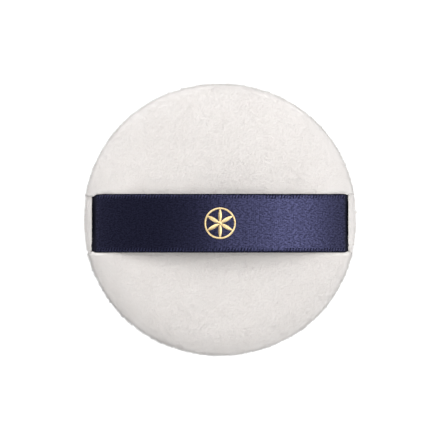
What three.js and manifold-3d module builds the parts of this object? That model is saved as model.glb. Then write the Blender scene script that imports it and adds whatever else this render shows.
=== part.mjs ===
// A round plush powder puff with a satin ribbon to hold it by.
// Two pile covers are sewn right sides together over the ribbon's tails, turned out, filled with a
// foam disc and closed by hand. The seam runs round the rim, and the pile parts along it.
// Millimetres, +Z up, X along the ribbon. The origin is at the middle of the flat on which the
// powder face rests.
import * as THREE from "three";
import { mergeVertices } from "three/addons/utils/BufferGeometryUtils.js";
import Module from "manifold-3d";

// The pad, over the tips of its pile
const padDiameter = 75;
const padThickness = 17;
const seamHeight = 7.8;
const restFlatDepth = 0.5;
const pileLength = 2.2;
const groundThickness = 0.6;

// Above its waist the pad's outline is (r / R) ^ radialPower + (z / H) ^ heightPower = 1
const radialPower = 3.6;
const heightPower = 2;

// The parting of the pile along the drawn-in seam, and the allowances turned in behind it
const partingDepth = 2.35;
const partingWidth = 5;
const allowanceWidth = 6;
const allowanceThickness = 1;

// The ribbon, and the way it bows over the back of the pad
const ribbonWidth = 16;
const ribbonThickness = 0.45;
const ribbonForward = 1;
const fingerGap = 5.5;
const shoulderRise = 2.5;
const shoulderRadius = 3;
const seamBendRadius = 0.7;
const tailSetback = 0.5;

// Sewing thread: the rim seam, the tacks on the ribbon's tails and the hand-closed stretch
const threadDiameter = 0.35;
const stitchLength = 4;
const stitchLift = 0.25;
const tackBite = 1.8;
const tackMargin = 2.2;
const tackLoops = 4;
const closingLength = 36;
const closingStitch = 3;
const closingSwing = 0.25;

// The stamped foil rosette in the middle of the ribbon
const rosetteDiameter = 8.6;
const rosetteLine = 0.5;
const rosetteHub = 1.1;
const rosettePetals = 6;
const foilThickness = 0.12;
const foilLift = 0.05;

// Room between neighbouring pieces, and the overrun of a cut past what it cuts
const clearance = 0.3;
const overrun = 4;

// How finely round shapes are divided
const padFacets = 40;
const outerSteps = 7;
const innerSteps = 5;
const partingSteps = 3;
const archSteps = 24;
const shoulderSteps = 4;
const bendSteps = 3;
const threadSides = 5;
const loopSteps = 8;
const stitchSteps = 3;
const ringFacets = 40;
const petalSteps = 7;
const mergeTolerance = 1e-4;

// Sizes that follow from those above
const padRadius = padDiameter / 2;
const coverThickness = pileLength + groundThickness;
const seamRadius = padRadius - partingDepth;
const backHeight = padThickness - seamHeight;
const waist = partingWidth / 2;
const halfSeam = clearance / 2;
const allowanceTop = halfSeam + allowanceThickness;
const allowanceRadius = seamRadius - allowanceWidth;
const innerRadius = padRadius - coverThickness;
const threadRadius = threadDiameter / 2;
const threadRoom = threadRadius + clearance;
const sewnTop = allowanceTop + threadDiameter + stitchLift + 2 * clearance;
const rootTop = threadRoom + closingSwing;
const ribbonFace = ribbonThickness / 2;
const laneWidth = ribbonWidth + 2 * clearance;
const tailEnd = allowanceRadius + tailSetback;

const wasm = await Module();
wasm.setup();

// A closed three.js geometry as a solid that can be cut and joined.
function solidOf(geometry) {
  const bare = geometry.index ? geometry.toNonIndexed() : geometry.clone();
  bare.deleteAttribute("normal");
  bare.deleteAttribute("uv");
  const merged = mergeVertices(bare, mergeTolerance);
  const mesh = new wasm.Mesh({
    numProp: 3,
    vertProperties: merged.attributes.position.array,
    triVerts: merged.index.array,
  });
  return new wasm.Manifold(mesh);
}

function geometryOf(solid) {
  const mesh = solid.getMesh();
  const geometry = new THREE.BufferGeometry();
  geometry.setAttribute("position", new THREE.BufferAttribute(mesh.vertProperties, 3));
  geometry.setIndex(new THREE.BufferAttribute(mesh.triVerts, 1));
  geometry.computeVertexNormals();
  return geometry;
}

// Points of the round outline, as heights from the seam, from its start down to where it stops.
// Below the waist it goes straight down.
function outline(radius, top, stop, steps, start = top) {
  const angleAt = (z) => Math.acos(((z - waist) / (top - waist)) ** (heightPower / 2));
  const from = angleAt(start);
  const to = angleAt(Math.max(stop, waist));
  const points = [];
  for (let i = 0; i <= steps; i += 1) {
    const angle = from + ((to - from) * i) / steps;
    const r = radius * Math.sin(angle) ** (2 / radialPower);
    const z = waist + (top - waist) * Math.abs(Math.cos(angle)) ** (2 / heightPower);
    points.push(new THREE.Vector2(r, z));
  }
  if (stop < waist) {
    points.push(new THREE.Vector2(radius, stop));
  }
  return points;
}

// The wall of the parting, drawn in from the pile's tips at the waist to the seam.
function partingWall() {
  const points = [];
  for (let i = 1; i <= partingSteps; i += 1) {
    const angle = (Math.PI / 2) * (i / partingSteps);
    const r = seamRadius + partingDepth * Math.cos(angle);
    const z = waist - (waist - rootTop) * Math.sin(angle);
    points.push(new THREE.Vector2(r, z));
  }
  return points;
}

// One half of the pad's cover in section, as heights away from the seam.
function coverOutline(top, inside, start) {
  const outer = outline(padRadius, top, waist, outerSteps, start);
  if (start < top) {
    outer.unshift(new THREE.Vector2(0, start));
  }
  const allowance = [
    new THREE.Vector2(seamRadius, halfSeam),
    new THREE.Vector2(allowanceRadius, halfSeam),
    new THREE.Vector2(allowanceRadius, allowanceTop),
  ];
  const inner = outline(innerRadius, inside, allowanceTop, innerSteps).reverse();
  return [...outer, ...partingWall(), ...allowance, ...inner];
}

// Turns a section of heights above or below the seam into a solid of revolution. A section that
// goes from the pole outwards and back along the inside faces out on the upper side.
function revolved(points, side) {
  const placed = points.map((p) => new THREE.Vector2(p.x, seamHeight + side * p.y));
  if (side > 0) {
    placed.reverse();
  }
  const geometry = new THREE.LatheGeometry(placed, padFacets);
  geometry.rotateX(Math.PI / 2);
  return solidOf(geometry);
}

// The ribbon's line at a distance outside its middle line, from the right tail to the left one.
// It runs out along the seam, bends up, rises, turns over a shoulder and bows across the pad.
function ribbonLine(outside) {
  const reach = seamRadius - ribbonThickness / 2;
  const shoulderX = reach - shoulderRadius;
  const shoulderZ = seamHeight + shoulderRise;
  const top = padThickness + fingerGap + ribbonThickness / 2;
  const rise = top - shoulderZ;
  const archRadius =
    (rise ** 2 + shoulderX ** 2 - shoulderRadius ** 2) / (2 * (rise - shoulderRadius));
  const archZ = top - archRadius;
  const meeting = Math.atan2(shoulderZ - archZ, shoulderX);
  const bendX = reach - seamBendRadius;
  const bendZ = seamHeight + seamBendRadius;
  const half = [new THREE.Vector2(tailEnd, seamHeight - outside)];
  const arc = (x, z, radius, from, to, steps) => {
    for (let i = 0; i <= steps; i += 1) {
      const angle = from + ((to - from) * i) / steps;
      const r = radius + outside;
      half.push(new THREE.Vector2(x + r * Math.cos(angle), z + r * Math.sin(angle)));
    }
  };
  arc(bendX, bendZ, seamBendRadius, -Math.PI / 2, 0, bendSteps);
  arc(shoulderX, shoulderZ, shoulderRadius, 0, meeting, shoulderSteps);
  arc(0, archZ, archRadius, meeting, Math.PI / 2, archSteps / 2);
  const mirrored = half.map((p) => new THREE.Vector2(-p.x, p.y)).reverse();
  return [...half, ...mirrored.slice(1)];
}

// Carries a shape in X and Z across the pad, centred on the ribbon.
function across(shape, width) {
  const geometry = new THREE.ExtrudeGeometry(shape, {
    depth: width,
    bevelEnabled: false,
    curveSegments: bendSteps,
  });
  geometry.rotateX(Math.PI / 2);
  geometry.translate(0, width / 2 - ribbonForward, 0);
  return solidOf(geometry);
}

// A band that follows the ribbon between two distances outside its middle line.
function ribbonBand(outer, inner, width) {
  return across(new THREE.Shape([...ribbonLine(outer), ...ribbonLine(inner).reverse()]), width);
}

// Everything outside the line that lies a distance inside the ribbon's middle line.
function beyondRibbon(inside, width) {
  const side = padRadius + overrun;
  const top = padThickness + fingerGap + overrun;
  const frame = new THREE.Shape();
  frame.moveTo(-side, -overrun);
  frame.lineTo(side, -overrun);
  frame.lineTo(side, top);
  frame.lineTo(-side, top);
  frame.closePath();
  frame.holes.push(new THREE.Path(ribbonLine(-inside)));
  return across(frame, width);
}

// A thread of a given radius along a curve. A closed curve gives a ring.
function threadAlong(points, closed, radius) {
  const curve = new THREE.CatmullRomCurve3(points, closed);
  if (closed) {
    return solidOf(new THREE.TubeGeometry(curve, points.length, radius, threadSides, true));
  }
  const section = new THREE.Shape();
  for (let i = 0; i < threadSides; i += 1) {
    const angle = (2 * Math.PI * i) / threadSides;
    const move = i === 0 ? "moveTo" : "lineTo";
    section[move](radius * Math.cos(angle), radius * Math.sin(angle));
  }
  section.closePath();
  const options = { steps: points.length - 1, extrudePath: curve, bevelEnabled: false };
  return solidOf(new THREE.ExtrudeGeometry(section, options));
}

// The rim seam's thread on one face of the sandwiched allowances, rising between its stitches.
// It passes just inside the pressed cover, where the ribbon turns up.
function seamThread(side) {
  const radius = seamRadius - ribbonThickness - clearance - groundThickness - threadRoom;
  const stitches = Math.round((2 * Math.PI * radius) / stitchLength);
  const low = allowanceTop + threadRoom;
  const points = [];
  for (let i = 0; i < stitches * stitchSteps; i += 1) {
    const angle = (2 * Math.PI * i) / (stitches * stitchSteps);
    const lift = i % stitchSteps === 0 ? 0 : stitchLift;
    const z = seamHeight + side * (low + lift);
    points.push(new THREE.Vector3(radius * Math.cos(angle), radius * Math.sin(angle), z));
  }
  return threadAlong(points, true, threadRadius);
}

// Overcast stitches that bind one tail of the ribbon to the edge of the back cover's allowance.
function ribbonTack(side, radius) {
  const bottom = -ribbonThickness / 2 - threadRoom;
  const top = allowanceTop + threadRoom;
  const outer = tailEnd + tackBite;
  const inner = tailEnd - threadRoom;
  const reach = ribbonWidth / 2 - tackMargin;
  const steps = tackLoops * loopSteps;
  const points = [];
  for (let i = 0; i <= steps; i += 1) {
    const turn = (2 * Math.PI * i) / loopSteps;
    const x = (outer + inner) / 2 + ((outer - inner) / 2) * Math.cos(turn);
    const y = -reach + (2 * reach * i) / steps - ribbonForward;
    const z = seamHeight + (top + bottom) / 2 + ((top - bottom) / 2) * Math.sin(turn);
    points.push(new THREE.Vector3(side * x, y, z));
  }
  return threadAlong(points, false, radius);
}

// The hand stitches that close the seam at the back, where the foam went in.
function closingThread() {
  const radius = seamRadius + threadRoom;
  const crossings = Math.round(closingLength / closingStitch);
  const spread = closingLength / radius;
  const points = [];
  for (let i = 0; i <= crossings * 2; i += 1) {
    const angle = Math.PI / 2 - spread / 2 + (spread * i) / (crossings * 2);
    const z = seamHeight + (i % 2 === 0 ? closingSwing : -closingSwing);
    points.push(new THREE.Vector3(radius * Math.cos(angle), radius * Math.sin(angle), z));
  }
  return threadAlong(points, false, threadRadius);
}

function ringShape(outer, inner, facets) {
  const shape = new THREE.Shape();
  shape.absarc(0, 0, outer, 0, 2 * Math.PI, false);
  if (inner > 0) {
    const hole = new THREE.Path();
    hole.absarc(0, 0, inner, 0, 2 * Math.PI, true);
    shape.holes.push(hole);
  }
  return new THREE.ExtrudeGeometry(shape, {
    depth: foilThickness,
    bevelEnabled: false,
    curveSegments: facets,
  });
}

// One petal of a compass-drawn rosette: the lens between two arcs of the ring's own radius.
function petal(turn) {
  const length = rosetteDiameter / 2 - rosetteLine / 2;
  const centre = length * Math.sin(Math.PI / 3);
  const points = [];
  for (const side of [1, -1]) {
    for (let i = 0; i < petalSteps; i += 1) {
      const angle = Math.PI / 3 + (Math.PI / 3) * (i / petalSteps);
      const along = length / 2 - side * length * Math.cos(angle);
      points.push(new THREE.Vector2(along, side * (centre - length * Math.sin(angle))));
    }
  }
  const shape = new THREE.Shape(points);
  const geometry = new THREE.ExtrudeGeometry(shape, { depth: foilThickness, bevelEnabled: false });
  geometry.rotateZ(turn);
  return solidOf(geometry);
}

// The rosette is joined flat, then laid on the bow of the ribbon.
function foilRosette() {
  const ring = rosetteDiameter / 2;
  let flat = solidOf(ringShape(ring, ring - rosetteLine, ringFacets));
  flat = flat.add(solidOf(ringShape(rosetteHub / 2, 0, ringFacets / 2)));
  for (let i = 0; i < rosettePetals; i += 1) {
    flat = flat.add(petal((2 * Math.PI * (i + 1 / 2)) / rosettePetals));
  }
  const line = ribbonLine(ribbonThickness / 2);
  const top = line[(line.length - 1) / 2];
  const beside = line[(line.length - 1) / 2 - 1];
  const bowRadius = ((beside.x - top.x) ** 2 + (top.y - beside.y) ** 2) / (2 * (top.y - beside.y));
  const geometry = geometryOf(flat);
  const position = geometry.getAttribute("position");
  for (let i = 0; i < position.count; i += 1) {
    const angle = position.getX(i) / bowRadius;
    const radius = bowRadius + foilLift + position.getZ(i);
    const z = top.y - bowRadius + radius * Math.cos(angle);
    position.setXYZ(i, radius * Math.sin(angle), position.getY(i) - ribbonForward, z);
  }
  geometry.computeVertexNormals();
  return geometry;
}

const rightTack = ribbonTack(1, threadRadius);
const leftTack = ribbonTack(-1, threadRadius);
const tackHoles = ribbonTack(1, threadRoom).add(ribbonTack(-1, threadRoom));

// Trims a cover's allowance straight across the ribbon's tails, at a distance from the middle.
function allowanceTrim(side, distance) {
  const height = allowanceTop + halfSeam;
  const trim = new THREE.BoxGeometry(2 * distance, laneWidth, height);
  trim.translate(0, -ribbonForward, seamHeight + (side * height) / 2);
  return solidOf(trim);
}

// The allowance ends with the ribbon's tail, where the tack goes round both. The ribbon presses
// the cover's pile down to its ground cloth where it comes round the rim.
function backCover() {
  const shell = revolved(coverOutline(backHeight, backHeight - coverThickness, backHeight), 1);
  const body = [...outline(seamRadius, backHeight, halfSeam, outerSteps), new THREE.Vector2(0, halfSeam)];
  const reach = ribbonFace + clearance;
  const lane = ribbonBand(-reach, -reach - groundThickness, laneWidth + 2 * groundThickness);
  const pressed = lane.intersect(revolved(body, 1));
  const cut = beyondRibbon(reach, laneWidth);
  return shell.subtract(allowanceTrim(1, tailEnd)).add(pressed).subtract(cut).subtract(tackHoles);
}

// The allowance is graded, so that it stops short of the tacks on the ribbon's tails.
function faceCover() {
  const section = coverOutline(seamHeight + restFlatDepth, seamHeight - coverThickness, seamHeight);
  const room = ribbonBand(ribbonFace + clearance, -ribbonFace - clearance, laneWidth);
  const graded = allowanceTrim(-1, tailEnd + tackBite + threadRoom);
  return revolved(section, -1).subtract(room).subtract(graded);
}

// A foam disc that fills both covers, with the allowances let into its rim.
function foamCore() {
  const radius = innerRadius - clearance;
  const up = backHeight - coverThickness - clearance;
  const down = seamHeight - coverThickness - clearance;
  const floor = allowanceRadius - threadDiameter - 2 * clearance;
  const upper = outline(radius, up, sewnTop, innerSteps);
  const lower = outline(radius, down, sewnTop, innerSteps).map((p) => new THREE.Vector2(p.x, -p.y));
  const slot = [new THREE.Vector2(floor, sewnTop), new THREE.Vector2(floor, -sewnTop)];
  const disc = revolved([...upper, ...slot, ...lower.reverse()], 1);
  const reach = ribbonFace + 2 * clearance + groundThickness;
  const room = ribbonBand(ribbonFace, -reach, laneWidth + 2 * (groundThickness + clearance));
  return disc.subtract(room);
}

const pile = new THREE.MeshStandardMaterial({ color: 0xf2eeea, roughness: 1, metalness: 0 });
const foam = new THREE.MeshStandardMaterial({ color: 0xf4efdf, roughness: 0.95, metalness: 0 });
const satin = new THREE.MeshStandardMaterial({ color: 0x26284a, roughness: 0.4, metalness: 0.1 });
const foil = new THREE.MeshStandardMaterial({ color: 0xe0b866, roughness: 0.3, metalness: 1 });
const whiteThread = new THREE.MeshStandardMaterial({ color: 0xf0ede6, roughness: 0.7, metalness: 0 });
const navyThread = new THREE.MeshStandardMaterial({ color: 0x202342, roughness: 0.7, metalness: 0 });

const puff = new THREE.Group();

function addPiece(name, geometry, material) {
  const mesh = new THREE.Mesh(geometry, material);
  mesh.name = name;
  puff.add(mesh);
}

const strap = ribbonBand(ribbonFace, -ribbonFace, ribbonWidth);
addPiece("face_cover", geometryOf(faceCover()), pile);
addPiece("back_cover", geometryOf(backCover()), pile);
addPiece("foam_core", geometryOf(foamCore()), foam);
addPiece("ribbon_strap", geometryOf(strap.subtract(tackHoles)), satin);
addPiece("foil_rosette", foilRosette(), foil);
addPiece("seam_needle_thread", geometryOf(seamThread(1)), whiteThread);
addPiece("seam_bobbin_thread", geometryOf(seamThread(-1)), whiteThread);
addPiece("right_ribbon_tack", geometryOf(rightTack), navyThread);
addPiece("left_ribbon_tack", geometryOf(leftTack), navyThread);
addPiece("closing_thread", geometryOf(closingThread()), whiteThread);

export default puff;
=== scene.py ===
import math

import bpy
import numpy as np
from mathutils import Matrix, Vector, noise
from mathutils.bvhtree import BVHTree


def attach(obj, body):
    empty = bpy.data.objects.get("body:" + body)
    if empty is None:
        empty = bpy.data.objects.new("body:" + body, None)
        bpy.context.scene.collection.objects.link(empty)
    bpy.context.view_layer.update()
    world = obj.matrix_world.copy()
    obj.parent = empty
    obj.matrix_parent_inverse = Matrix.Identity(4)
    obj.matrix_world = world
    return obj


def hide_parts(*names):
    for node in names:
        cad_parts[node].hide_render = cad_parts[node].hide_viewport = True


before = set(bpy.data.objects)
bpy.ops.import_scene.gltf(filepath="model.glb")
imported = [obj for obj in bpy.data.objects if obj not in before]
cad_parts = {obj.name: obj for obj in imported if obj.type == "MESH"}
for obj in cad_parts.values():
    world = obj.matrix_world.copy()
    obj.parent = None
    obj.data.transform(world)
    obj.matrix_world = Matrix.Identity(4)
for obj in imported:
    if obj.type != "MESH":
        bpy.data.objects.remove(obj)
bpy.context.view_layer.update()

bl_info = {
    "name": "Plush Powder Puff",
    "version": (1, 0, 0),
    "blender": (4, 5, 0),
    "location": "3D View > Sidebar > Puff",
    "description": "Dresses a round powder puff: plush pile, satin ribbon, foil rosette and thread",
    "category": "Object",
}

MM = 0.001
BODY = "root"
BACK = 1
FACE = -1

# How finely the pieces are divided
DOME_STEPS = 36
LIP_STEPS = 8
FOAM_STEPS = 12
TURN_STEPS = 96
BEND_STEPS = 12
SHOULDER_STEPS = 24
BOW_STEPS = 160
RIBBON_ALONG = 368
RIBBON_ACROSS = 16
SECTION_SPLITS = 16
REMESH_SIZE = 1.1 * MM
MERGE_DISTANCE = 0.002 * MM
COVER_SHARP_ANGLE = math.radians(60)
SHARP_ANGLE = math.radians(50)

# How a stuffed cover swells, with all that lies nearer to the seam than the hold kept in place
SWELL_FRAMES = 20
SWELL_PRESSURE = 30
SWELL_STIFFNESS = 60
SWELL_SHRINK = -0.02
SWELL_CAP = 0.45 * MM
SEAM_HOLD = 0.9 * MM
OVAL_SHARE = 0.6

# The ribbon narrows as it turns over the rim, and its left end curls
END_NARROWING = 0.04
END_DEPTH = 0.9 * MM
CURL_START = 31 * MM
CURL_REACH = 4 * MM
CURL_DEPTH = 0.48 * MM
CURL_SIDE = (5 * MM, 8 * MM)

# Where the ribbon presses the pile: past its long edges, and outwards from the pad's middle
PRESS_SIDE = (-0.1 * MM, 0.45 * MM)
PRESS_OUT = (20 * MM, 26 * MM)
PRESS_SKIN = 0.6 * MM
TAIL_OUT = 25 * MM

# Where the face cover's rim stands up past the ribbon's ends, and how its lip is drawn in to them
LANE_SIDE = (0.3 * MM, 1.6 * MM)
LANE_PAST = (-0.05 * MM, 0.4 * MM)
LANE_DEPTH = (0.45, 0.85)
LANE_FALL = 0.5
DRAWN_IN = 0.42 * MM
DRAWN_PAST = (0.5 * MM, 1.3 * MM)
DRAWN_OUT = (1.0 * MM, 1.7 * MM)
DRAWN_GAP = 0.04 * MM

# Where tufts stand
GOLDEN_TURN = math.pi * (3 - math.sqrt(5))
TUFT_JITTER = 0.35
BARE_PARTING = 0.45 * MM
LIP_START = 0.1 * MM
FOOT_DEPTH = 0.12 * MM
RIBBON_SIDE = 0.12 * MM
TIP_GAP = 0.03 * MM
SHORTEST_SHARE = 0.3

# Which way tufts lean: how wide each drift of the pile is, and how strong.
# Without a seed the noise would start from the clock
NOISE_SEED = 1
WIDE_DRIFT, WIDE_LEAN = 13 * MM, 0.20
FINE_DRIFT, FINE_LEAN = 3.2 * MM, 0.10
CLUMP_DRIFT, CLUMP_LEAN = 0.55 * MM, 0.2
STRAY_LEAN = 0.2
ALL_LEAN = 0.9
LIP_WAY, LIP_LEAN = (0.88, 0.0, 0.47), 0.7
LIP_RISE = (-MM, 0.5 * MM)
PARTING_COMBED = (0.25, 0.5)
PARTING_KEPT, PARTING_FALL = 0.35, 0.25
PARTING_REACH = (0.75, 1.05)

# Lengths of tufts as shares of the usual one. The second number of a pair is added at the rim
RIM_WIDTH = 3 * MM
LENGTH_SPREAD = (0.75, 1.1)
RIM_SPREAD = (-0.55, 0.05)
CLUMP_SHARE = (0.15, 0.85)
LONG_CHANCE = (0.03, 0.03)
LONG_SHARE = (1.35, 0.5)
LONGEST_SHARE = 1.3

# Tufts on the flat that the puff rests on are laid down, and none goes below it
FLAT_HEIGHT = 0.6 * MM
FLAT_SHARE = 0.8
FLAT_SINK = 0.35 * MM
LOWEST_TIP = 0.03 * MM
LOWEST_CORNER = 0.01 * MM

# Widths, normals and tones of tufts. The tones are painted shade and painted light in random patches
WIDTH_SPREAD = (0.8, 1.2)
ROUNDNESS = 0.25
TONE_DRIFT, TONE_NOISE = 5 * MM, 0.35
TONE_SHARES = (0.3, 0.72)

# Millimetres from one rib of the ribbon's weave, and one loop of its selvedge, to the next
RIB_PITCH = 0.53
LOOP_PITCH = 0.85
# Painted shade that darkens the ribbon's long edges and its ends where they turn over the rim
PAINTED_EDGE_SHADE = (0.0012, 0.0013, 0.0025)

# The rosette
PETALS = 6
PETAL_RISE = 0.16 * MM
HUB_RADIUS = 0.55 * MM

# The camera, and the size of one of the picture's points at the seam
CAMERA_FAR = 1.5
CAMERA_SHIFT = (-0.02 * MM, -0.12 * MM)
PICTURE_SIZE = 440
POINT_SIZE = 0.2747 * MM

# The studio's floor, the curve at its edge and its light
FLOOR_RADIUS = 2.6
CURVE_RADIUS = 0.35
CURVE_STEPS = 6
BACKDROP_HEIGHT = 0.5
FLOOR_GLOW = 0.78
SKY_LIGHT = 0.136
WHITE = (1, 1, 1, 1)

# Strips that make one big soft box beside the puff: angle from straight up, and radiance
SIDE_STRIPS = {6: 1.8, 20: 1.8, 34: 3.9, 48: 3.0, 62: 0.95}

# Soft boxes: angle from straight up, bearing, distance, width, height and radiance
SOFT_BOXES = {
    "top box": (36, 95, 1.1, 0.9, 0.4, 2.5),
    "high top box": (18, 90, 1.1, 0.9, 0.25, 1.2),
    "high bottom box": (18, 270, 1.1, 0.9, 0.25, 1.2),
    "upper left box": (64, 135, 1.1, 0.8, 0.6, 2.9),
    "upper right box": (64, 45, 1.1, 0.8, 0.6, 0.8),
    "lower left box": (64, 228, 1.1, 0.8, 0.6, 2.1),
    "low top box": (78, 90, 1.0, 1.1, 0.4, 1.5),
    "low right box": (78, 315, 1.0, 1.1, 0.4, 2.0),
}


def measure(name, description, value, scale=MM, unit="LENGTH"):
    """A number that a user can change: a length in millimetres, where nothing else is said."""
    return bpy.props.FloatProperty(
        name=name, description=description, default=value * scale, unit=unit
    )


def colour(name, description, value):
    """A colour that a user can change."""
    return bpy.props.FloatVectorProperty(
        name=name, description=description, default=value, subtype="COLOR", size=3, min=0, max=1
    )


class PuffSizes(bpy.types.PropertyGroup):
    """Sizes of the puff, which follow the solids of the frame."""

    pad_diameter: measure("Pad diameter", "Across the pad, over the tips of its pile", 75)
    pad_thickness: measure("Pad thickness", "From where it rests up to the top of the pile", 17)
    seam_height: measure("Seam height", "From where it rests up to the seam round its rim", 7.8)
    rest_depth: measure("Rest flat", "How far the puff's weight presses the powder face flat", 0.5)
    crown_power: measure("Crown fullness", "How flat the pad's middle stays", 3.6, 1, "NONE")
    parting_depth: measure("Parting depth", "How far the seam draws in from the pad's outline", 2.35)
    parting_width: measure("Parting width", "Height between the two rolled lips beside the seam", 5)
    lip_fullness: measure("Lip fullness", "How far the lips beside the seam stay full", 3.4, 1, "NONE")
    lane_lift: measure("Lane lift", "How far the face cover's rim rises past the ribbon's ends", 5.3)
    cover_thickness: measure("Cover thickness", "Ground cloth and pile together", 2.8)
    allowance_width: measure("Seam allowance", "Cloth turned in behind the seam", 6)
    allowance_thickness: measure("Allowance thickness", "Thickness of a cover's turned-in cloth", 1)
    swell_rise: measure("Swell rise", "How far the crown rises as the cover fills out", 0.4)
    squareness: measure("Squareness", "How far the outline bulges at its four corners", 0.17)
    pile_proud: measure("Pile proud", "How far the pile's tips stand out from its matted mass", 0.45)
    tuft_length: measure("Tuft length", "Length of a tuft that stands out of the pile", 1.0)
    tuft_width: measure("Tuft width", "Width of a tuft at its foot", 0.22)
    tuft_spacing: measure("Tuft spacing", "Mean distance between neighbouring tufts", 0.28)
    ribbon_width: measure("Ribbon width", "Width of the satin ribbon", 16)
    ribbon_thickness: measure("Ribbon thickness", "Thickness of the satin ribbon", 0.45)
    ribbon_forward: measure("Ribbon forward", "How far the ribbon lies in front of the pad's middle", 1)
    finger_gap: measure("Finger gap", "Height under the ribbon at the top of its bow", 5.5)
    shoulder_rise: measure("Shoulder rise", "Height of the ribbon's shoulder above the seam", 2.5)
    shoulder_radius: measure("Shoulder radius", "Radius with which the ribbon turns over the rim", 3)
    seam_bend: measure("Seam bend", "Radius with which the ribbon turns into the seam", 0.7)
    tail_setback: measure("Tail setback", "How far the tail stops short of the allowance's edge", 0.5)
    clearance: measure("Clearance", "Room between neighbouring pieces", 0.3)
    rosette_diameter: measure("Rosette diameter", "Across the ring of the foil rosette", 8.6)
    rosette_line: measure("Rosette line", "Width of the rosette's ring", 0.5)
    foil_lift: measure("Foil lift", "Height of the foil's edge above the ribbon", 0.05)


class PuffColours(bpy.types.PropertyGroup):
    """Colours of the puff, as linear values."""

    pile: colour("Pile", "Fresh white pile", (0.955, 0.924, 0.902))
    # Painted shade and painted light: a darker and a lighter copy of the white pile, set in random
    # patches
    pile_shade: colour("Pile shade", "Pile where it lies away from the light", (0.942, 0.909, 0.885))
    # Painted light, set in random patches and not where tips stand up
    pile_painted_light: colour("Pile bright", "Pile whose tips stand up", (0.966, 0.938, 0.918))
    ribbon: colour("Ribbon", "Navy satin", (0.0032, 0.0034, 0.0075))
    ribbon_thread: colour("Ribbon thread", "Single threads of the satin", (0.006, 0.0065, 0.016))
    ribbon_loop: colour("Ribbon loop", "Small loops of the selvedge", (0.03, 0.032, 0.07))
    ribbon_gloss: colour("Ribbon gloss", "Tint of the satin's gloss", (0.46, 0.47, 1.0))
    gold: colour("Gold foil", "Pale gold foil", (0.8, 0.56, 0.25))
    foam: colour("Foam", "Cream foam", (0.9, 0.84, 0.7))
    white_thread: colour("White thread", "Polyester sewing thread", (0.84, 0.82, 0.78))
    navy_thread: colour("Navy thread", "Thread that matches the ribbon", (0.016, 0.018, 0.05))
    floor: colour("Floor", "Pale studio floor", (0.8, 0.8, 0.8))


def sizes():
    return bpy.context.scene.puff_sizes


def colours():
    return bpy.context.scene.puff_colours


class Wire:
    """A socket of a material's nodes, which takes part in sums."""

    def __init__(self, look, socket):
        self.look = look
        self.socket = socket

    def maths(self, operation, *values):
        return self.look.node("ShaderNodeMath", {"operation": operation}, dict(enumerate(values)))

    def __add__(self, other):
        return self.maths("ADD", self, other)

    def __radd__(self, other):
        return self.maths("ADD", other, self)

    def __sub__(self, other):
        return self.maths("SUBTRACT", self, other)

    def __rsub__(self, other):
        return self.maths("SUBTRACT", other, self)

    def __mul__(self, other):
        return self.maths("MULTIPLY", self, other)

    def least(self, other):
        return self.maths("MINIMUM", self, other)

    def most(self, other):
        return self.maths("MAXIMUM", self, other)

    def sine(self):
        return self.maths("SINE", self)

    def ramp(self, low, high, to_low=0.0, to_high=1.0):
        """Runs smoothly from to_low at low to to_high at high."""
        return self.look.node(
            "ShaderNodeMapRange",
            {"interpolation_type": "SMOOTHSTEP"},
            {0: self, 1: low, 2: high, 3: to_low, 4: to_high},
        )


class Look:
    """A material, or the world, that is built node by node."""

    def __init__(self, name, store=None):
        self.material = (bpy.data.materials if store is None else store).new(name)
        self.material.use_nodes = True
        self.tree = self.material.node_tree
        self.tree.nodes.clear()

    def node(self, kind, settings=None, inputs=None, output=0):
        made = self.tree.nodes.new(kind)
        for key, value in (settings or {}).items():
            setattr(made, key, value)
        for key, value in (inputs or {}).items():
            if isinstance(value, Wire):
                self.tree.links.new(value.socket, made.inputs[key])
            else:
                made.inputs[key].default_value = value
        return Wire(self, made.outputs[output]) if made.outputs else None

    def place(self, turn=(0, 0, 0)):
        """Object coordinates, turned."""
        found = self.node("ShaderNodeTexCoord", output="Object")
        return self.node("ShaderNodeMapping", None, {"Vector": found, "Rotation": turn})

    def grain(self, scale, detail, rough, at=None):
        """Noise of this scale, over the object or over the place given."""
        inputs = {"Scale": scale, "Detail": detail, "Roughness": rough, "Vector": at or self.place()}
        return self.node("ShaderNodeTexNoise", None, inputs, "Fac")

    def blend(self, amount, first, second):
        """Mixes two colours."""
        inputs = {0: amount, 6: rgba(first), 7: rgba(second)}
        return self.node("ShaderNodeMix", {"data_type": "RGBA"}, inputs, 2)

    def bump(self, height, distance, strength):
        inputs = {"Strength": strength, "Distance": distance, "Height": height}
        return self.node("ShaderNodeBump", None, inputs)

    def surface(self, **inputs):
        """The shader of most pieces. Keys are its sockets, with _ for a space."""
        named = {key.replace("_", " "): rgba(value) for key, value in inputs.items()}
        return self.node("ShaderNodeBsdfPrincipled", None, named)

    def finish(self, **inputs):
        """A material of one such shader."""
        return self.output(self.surface(**inputs))

    def output(self, shader):
        self.node("ShaderNodeOutputMaterial", None, {"Surface": shader})
        return self.material


def rgba(value):
    """A colour with its alpha, where value is three numbers."""
    if isinstance(value, Wire) or not hasattr(value, "__len__") or len(value) != 3:
        return value
    return (*value, 1.0)


def clear_selection():
    if bpy.context.object and bpy.context.object.mode != "OBJECT":
        bpy.ops.object.mode_set(mode="OBJECT")
    bpy.ops.object.select_all(action="DESELECT")


def only(piece):
    """Makes a piece the one that is selected and active."""
    clear_selection()
    piece.select_set(True)
    bpy.context.view_layer.objects.active = piece


def edit_all():
    """Opens the active piece with all of it selected."""
    bpy.ops.object.mode_set(mode="EDIT")
    bpy.ops.mesh.select_all(action="SELECT")


def close_outwards():
    """Turns all faces of the open piece outwards and closes it."""
    bpy.ops.mesh.select_all(action="SELECT")
    bpy.ops.mesh.normals_make_consistent(inside=False)
    bpy.ops.object.mode_set(mode="OBJECT")


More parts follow.
